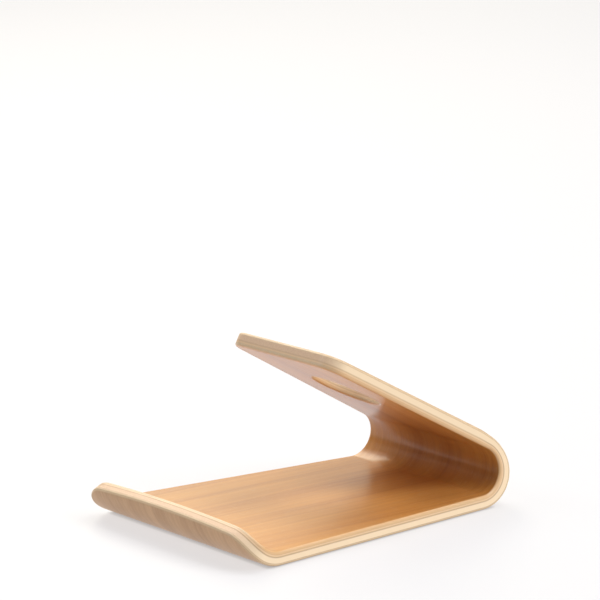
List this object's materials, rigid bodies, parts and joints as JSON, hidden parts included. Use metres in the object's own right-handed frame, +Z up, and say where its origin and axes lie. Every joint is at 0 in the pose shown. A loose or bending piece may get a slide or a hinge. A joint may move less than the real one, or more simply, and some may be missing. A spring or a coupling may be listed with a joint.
{
  "type": "phone stand",
  "caption": "Bent plywood desk stand: a low front lip and flat base hold the foot of a phone, and a sloping support with a round cable hole props its back.",
  "frame": {"origin": "on the surface it stands on, under the middle of the stand's length and width", "axes": "+Y from the lip at the front to the rear bend, +Z up, +X to the right of a person facing the lip"},
  "size_m": [0.0706, 0.0995, 0.0485],
  "materials": {
    "face_veneer": "satin lacquered light veneer, straight grain from lip to support",
    "cross_ply": "sanded and lacquered end grain edge, tan",
    "core_ply": "sanded and lacquered long grain edge, cream"
  },
  "bodies": {
    "root": {"outer_face_veneer": "face_veneer", "outer_cross_ply": "cross_ply", "core_ply": "core_ply", "inner_cross_ply": "cross_ply", "inner_face_veneer": "face_veneer"}
  },
  "joints": []
}
